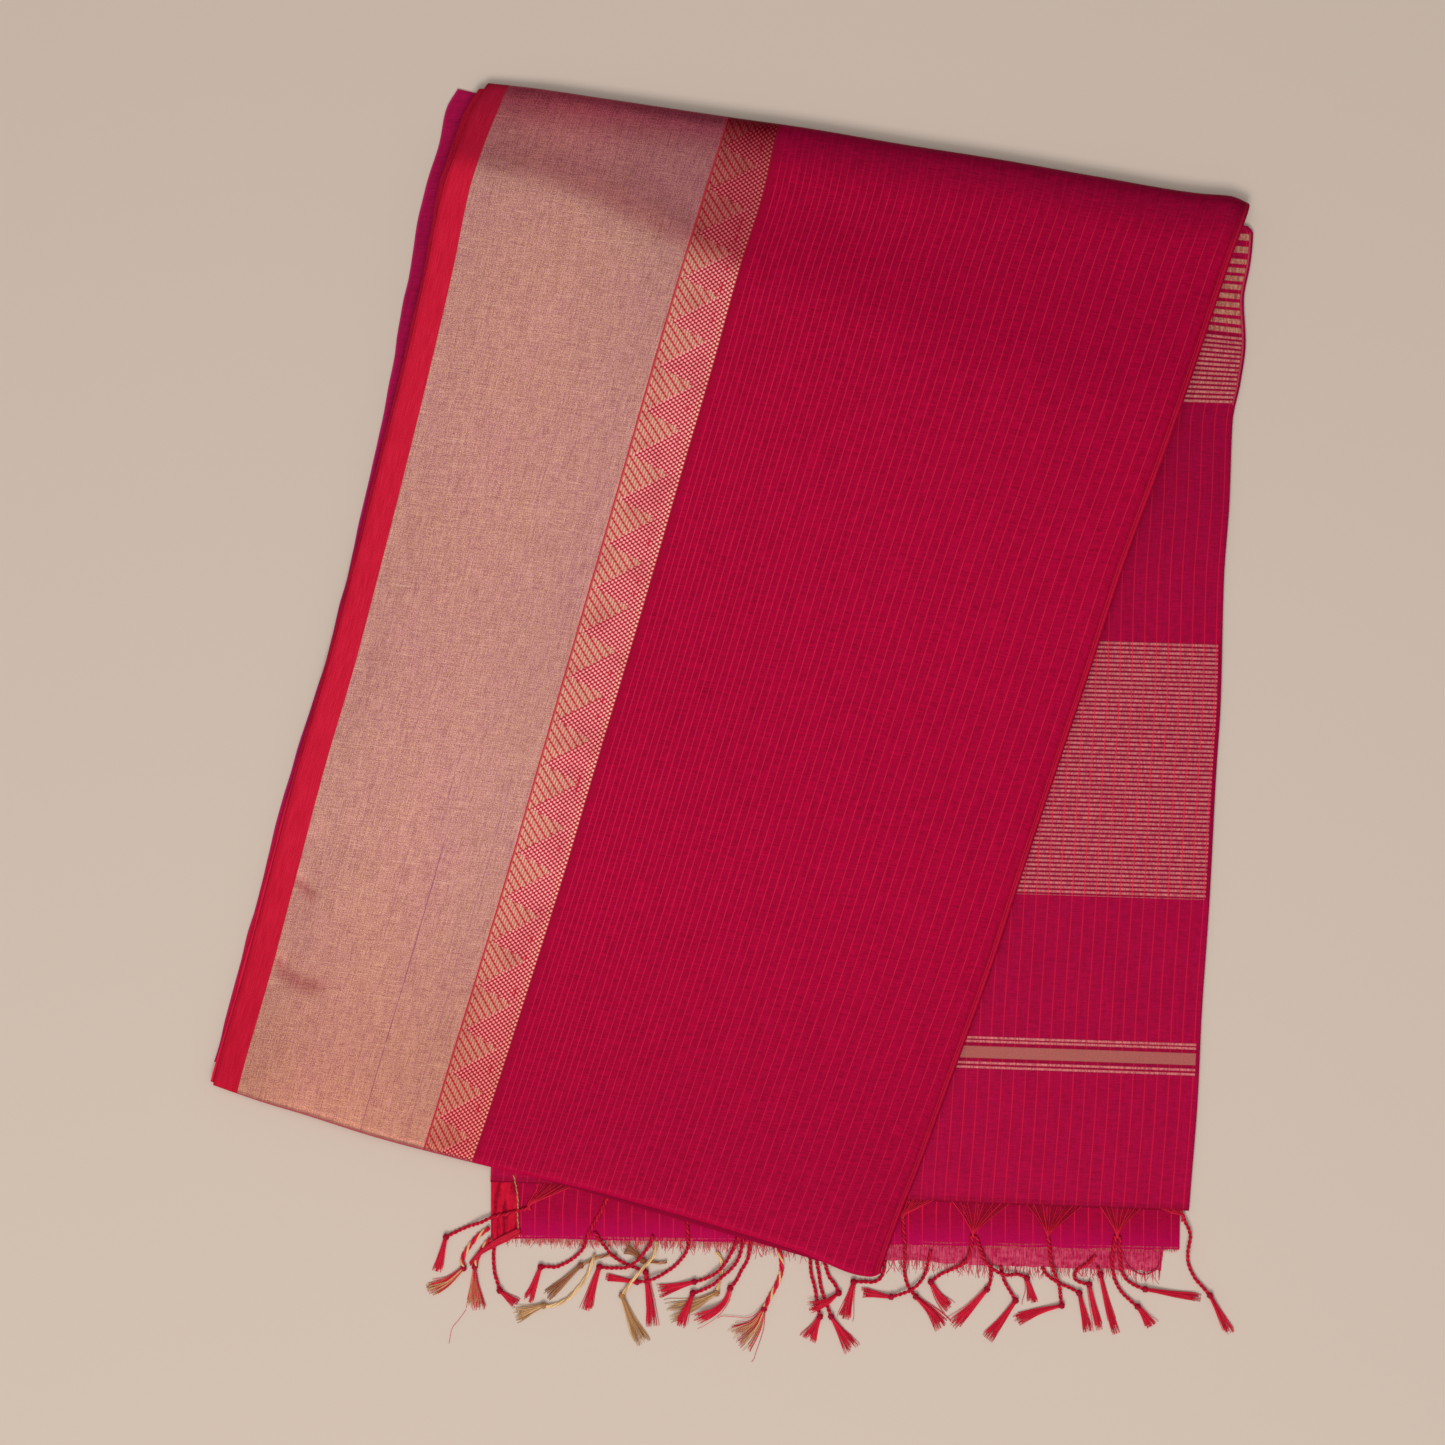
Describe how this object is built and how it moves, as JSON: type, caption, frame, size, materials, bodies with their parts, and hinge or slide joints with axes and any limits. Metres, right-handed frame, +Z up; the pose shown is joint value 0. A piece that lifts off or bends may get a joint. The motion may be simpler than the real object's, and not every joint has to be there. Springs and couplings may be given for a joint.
{
  "type": "folded saree",
  "caption": "Magenta saree folded flat, with a broad red and gold border, its gold-striped pallu and plain end showing at the right and front, and a fringe of knotted tassels",
  "frame": {"origin": "middle of the whole outline, on the surface the saree lies on", "axes": "+X to the right, towards the pallu's side; +Y towards the pile's thick folded end, with the tassels at -Y; +Z up"},
  "size_m": [0.835, 1.0186, 0.0249],
  "materials": {
    "border_panel": "satin",
    "red_selvedge": "satin",
    "sheer_magenta": "satin",
    "inner_layers": "satin",
    "striped_pallu": "satin",
    "plain_magenta": "satin",
    "red_thread": "matte",
    "magenta_thread": "matte",
    "red_and_gold_thread": "matte",
    "gold_thread": "matte",
    "tan_thread": "matte"
  },
  "bodies": {
    "root": {"top_panel": "border_panel", "edge_layer_red": "red_selvedge", "edge_layer_sheer": "sheer_magenta", "bundle_core": "inner_layers", "pallu_front": "striped_pallu", "plain_end_upper": "plain_magenta", "plain_end_lower": "sheer_magenta", "fringe_strip_left": "red_thread", "fringe_strip_right": "red_thread", "frayed_strip_upper": "magenta_thread", "frayed_strip_lower": "magenta_thread", "tassel_01": "red_thread", "tassel_02": "red_and_gold_thread", "tassel_03": "red_and_gold_thread", "tassel_04": "red_thread", "tassel_05": "red_thread", "tassel_06": "gold_thread", "tassel_07": "tan_thread", "tassel_08": "red_thread", "tassel_09": "red_thread", "tassel_10": "gold_thread", "tassel_11": "tan_thread", "tassel_12": "red_thread", "tassel_13": "red_thread", "tassel_14": "red_thread", "tassel_15": "red_thread", "tassel_16": "gold_thread", "tassel_17": "red_and_gold_thread", "tassel_18": "red_thread", "tassel_19": "red_thread", "tassel_20": "red_thread", "tassel_21": "red_thread", "tassel_22": "red_thread", "tassel_23": "red_thread", "tassel_24": "red_thread", "tassel_25": "red_thread", "tassel_26": "red_thread", "tassel_27": "red_thread", "tassel_28": "red_thread", "tassel_29": "red_thread", "tassel_30": "red_thread", "tassel_31": "red_thread", "tassel_32": "red_thread", "tassel_33": "red_thread", "tassel_34": "red_thread"}
  },
  "joints": []
}
